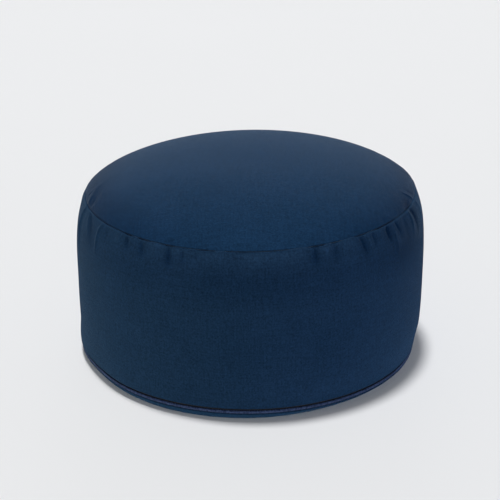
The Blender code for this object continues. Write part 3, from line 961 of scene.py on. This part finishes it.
def base_rings():
    """The rings of the base panel, flat on the floor, its rim turned up to the zip, and their shades."""
    half = CANVAS / 2.0
    rings = cup_rings(RIM_RADIUS, 0.0)
    for turn in np.radians(ROLL_TURNS):
        across = np.sign(np.cos(turn)) * np.abs(np.cos(turn)) ** ROLL_POWER
        up = np.abs(np.sin(turn)) ** ROLL_POWER
        radius, height = RIM_RADIUS - half + half * across, RIM_HEIGHT - half + half * up
        rings.append(rim_points(turns(FINE), radius, height))
    rings += cup_rings(RIM_RADIUS - CANVAS, CANVAS)[::-1]
    return rings, [0.0] * len(rings)


# The zip
def sweep(name, section, half_arc, count, material):
    """A strip with this section of (radius, height) corners, swept round the front."""
    angle = np.linspace(-half_arc, half_arc, count)
    rows = [place(angle, r, z) for r, z in section]
    points = np.stack(rows, 1).reshape(-1, 3)
    size = len(section)
    faces = []
    for step in range(count - 1):
        for i in range(size):
            j = (i + 1) % size
            faces.append((step * size + i, step * size + j, (step + 1) * size + j, (step + 1) * size + i))
    faces.append(tuple(range(size)))
    faces.append(tuple((count - 1) * size + i for i in range(size)))
    return finish_mesh(name, points, faces, material)


def tape(name, heights):
    """A tape with rounded edges, between the heights of the part's own tape."""
    low, high = heights
    outer, inner = TAPE_RADIUS, TAPE_RADIUS - TAPE_THICKNESS
    section = (
        (outer - TAPE_ROUNDING, low),
        (outer, low + TAPE_ROUNDING),
        (outer, high - TAPE_ROUNDING),
        (outer - TAPE_ROUNDING, high),
        (inner + TAPE_ROUNDING, high),
        (inner, high - TAPE_ROUNDING),
        (inner, low + TAPE_ROUNDING),
        (inner + TAPE_ROUNDING, low),
    )
    return sweep(name, section, TAPE_HALF_ARC, PLAIN, tape_material)


def tooth_rings(at, foot, tip):
    """The rings of one tooth at this angle, between the heights of its foot and tip."""
    around = 2.0 * pi * np.arange(TOOTH_SIDES) / TOOTH_SIDES
    spine = np.array([(foot + share * (tip - foot), out) for share, out, _, _ in TOOTH_PATH])
    rings = []
    for k, (z, out) in enumerate(spine):
        ahead = spine[min(k + 1, len(spine) - 1)] - spine[max(k - 1, 0)]
        dz, dr = ahead / np.hypot(*ahead)
        width = TOOTH_PATH[k][2]
        side = width * np.cos(around)
        lift = width * TOOTH_FLATNESS * np.sin(around)
        radius = TAPE_RADIUS + GAP + out + lift * dz
        rings.append(place(at + np.degrees(side / TAPE_RADIUS), radius, np.clip(z - lift * dr, *COIL)))
    return rings


def teeth():
    """Two rows of small rounded teeth that hook into each other in the middle of the zip."""
    low, high = COIL
    count = int(2.0 * radians(COIL_HALF_ARC) * TAPE_RADIUS / TOOTH_PITCH)
    points = []
    shades = []
    faces = []
    for row, (foot, tip) in enumerate(((low, high - TOOTH_SHORT), (high, low + TOOTH_SHORT))):
        for step in range(count):
            at = -COIL_HALF_ARC + (step + TOOTH_START + 0.5 * row) * 2.0 * COIL_HALF_ARC / count
            numbers = []
            for ring, (_, _, _, shade) in zip(tooth_rings(at, foot, tip), TOOTH_PATH):
                numbers.append(list(range(len(points), len(points) + TOOTH_SIDES)))
                points.extend(ring.tolist())
                shades.extend([shade] * TOOTH_SIDES)
            for lower, upper in zip(numbers, numbers[1:]):
                bridge(faces, lower, upper)
            faces.append(tuple(numbers[0]))
            faces.append(tuple(numbers[-1]))
    return finish_mesh("zip_teeth_closed", points, faces, teeth_material, shades)


top = loft("top_panel_cloth", *panel_rings(), canvas_top)
band = loft("side_band_cloth", *band_rings(), canvas_side)
base = loft("base_panel_cloth", *base_rings(), canvas_base)
upper_tape = tape("zip_tape_upper_cloth", UPPER_TAPE)
lower_tape = tape("zip_tape_lower_cloth", LOWER_TAPE)
coil = teeth()

for piece, node, slot in (
    (top, "top_panel", "canvas_top"),
    (band, "side_band", "canvas_side"),
    (base, "base_panel", "canvas_base"),
    (upper_tape, "zip_tape_upper", "zip_tape"),
    (lower_tape, "zip_tape_lower", "zip_tape"),
    (coil, "zip_coil", "zip_teeth"),
):
    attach(piece, "root")
    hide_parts(node)


# A pale floor and a pale room, a soft light from above that throws the shadow, and three that only fill in
def floor_material():
    n = Nodes("pale_floor")
    grain = n.noise(n.position(), scale=3.0)
    n.link(n.blend(grain, (0.812, 0.817, 0.826), (0.822, 0.827, 0.836)), n.shader.inputs["Base Color"])
    n.shader.inputs["Roughness"].default_value = 0.9
    n.shader.inputs["Specular IOR Level"].default_value = 0.1
    return n.material


def add_floor():
    data = bpy.data.meshes.new("floor")
    corners = [(x * FLOOR_HALF, y * FLOOR_HALF, 0.0) for x, y in ((-1, -1), (1, -1), (1, 1), (-1, 1))]
    data.from_pydata(corners, [], [(0, 1, 2, 3)])
    data.materials.append(floor_material())
    floor = bpy.data.objects.new("floor", data)
    bpy.context.scene.collection.objects.link(floor)


def light_room():
    """A room that is warmer at the left and cooler at the right."""
    world = bpy.data.worlds.new("room")
    n = Nodes("room", world)
    x, y, z = n.split(n.position("Generated"))
    low = n.math("POWER", n.math("SUBTRACT", 1.0, n.math("MAXIMUM", z, 0.0)), ROOM_POWER)
    leaning = n.math("MULTIPLY_ADD", y, ROOM_BEHIND, n.math("MULTIPLY_ADD", x, ROOM_RIGHT, ROOM_LIGHT))
    beside = n.math("MULTIPLY_ADD", n.math("MULTIPLY", x, x), ROOM_BESIDE, 1.0)
    walls = n.math("MULTIPLY", low, n.math("MULTIPLY", leaning, beside))
    n.link(n.math("ADD", walls, ROOM_LEAST), n.shader.inputs["Strength"])
    warm, cool = (1.08, 1.02, 0.90), (0.84, 0.94, 1.14)
    n.link(n.blend(n.math("MULTIPLY_ADD", x, 0.5, 0.5), warm, cool), n.shader.inputs["Color"])
    bpy.context.scene.world = world


def add_sun(name, energy, size, toward, colour=(1.0, 1.0, 1.0), shadows=False):
    """A soft distant light that comes from this direction. A light that only fills in throws no shadow."""
    light = bpy.data.lights.new(name, "SUN")
    light.energy = energy
    light.color = colour
    light.use_shadow = shadows
    light.angle = radians(size)
    made = bpy.data.objects.new(name, light)
    made.rotation_euler = Vector(toward).to_track_quat("Z", "Y").to_euler()
    bpy.context.scene.collection.objects.link(made)


add_floor()
light_room()
add_sun("light_above", energy=2.30, size=8.0, toward=(-0.06, 0.03, 1.0), shadows=True)
add_sun("light_behind", energy=1.15, size=30.0, toward=(0.0, 1.0, 0.30))
add_sun("light_low_left", energy=1.62, size=30.0, toward=(-1.0, -0.36, -0.90), colour=(0.95, 0.905, 0.665))
add_sun("light_low_right", energy=1.30, size=30.0, toward=(1.0, -0.32, -0.90), colour=(0.80, 0.89, 1.0))

bpy.context.scene.view_settings.view_transform = "Standard"
